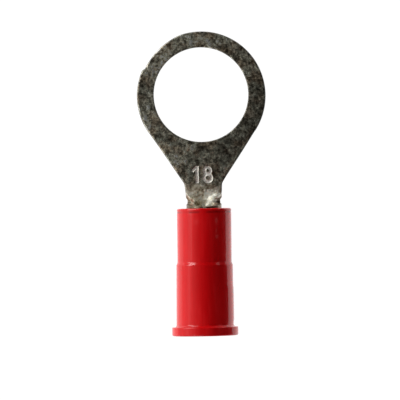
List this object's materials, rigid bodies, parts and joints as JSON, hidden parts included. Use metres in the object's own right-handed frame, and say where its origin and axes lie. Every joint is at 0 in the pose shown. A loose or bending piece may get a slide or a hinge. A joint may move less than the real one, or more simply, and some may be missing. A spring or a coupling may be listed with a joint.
{
  "type": "ring terminal",
  "caption": "Insulated ring terminal: a flat stud ring on a rolled crimp barrel, inside a stepped red nylon sleeve with a flanged wire entry and an inner grip sleeve.",
  "frame": {"origin": "centre of the stud hole, on the underside of the flat ring tongue", "axes": "+Z along the stud hole's axis, towards the side that carries the barrel's seam; +Y from the wire entry towards the ring's tip; +X to the right seen from above"},
  "size_m": [0.0114, 0.027, 0.0059],
  "materials": {
    "tinned_copper": "dull tin plate over copper strip, mottled and slightly scuffed, bare copper on the sheared edges",
    "red_nylon": "smooth glossy moulded nylon, slightly translucent",
    "grip_metal": "dull drawn thin metal"
  },
  "bodies": {
    "root": {"terminal_body": "tinned_copper", "insulation_sleeve": "red_nylon", "grip_sleeve": "grip_metal"}
  },
  "joints": []
}
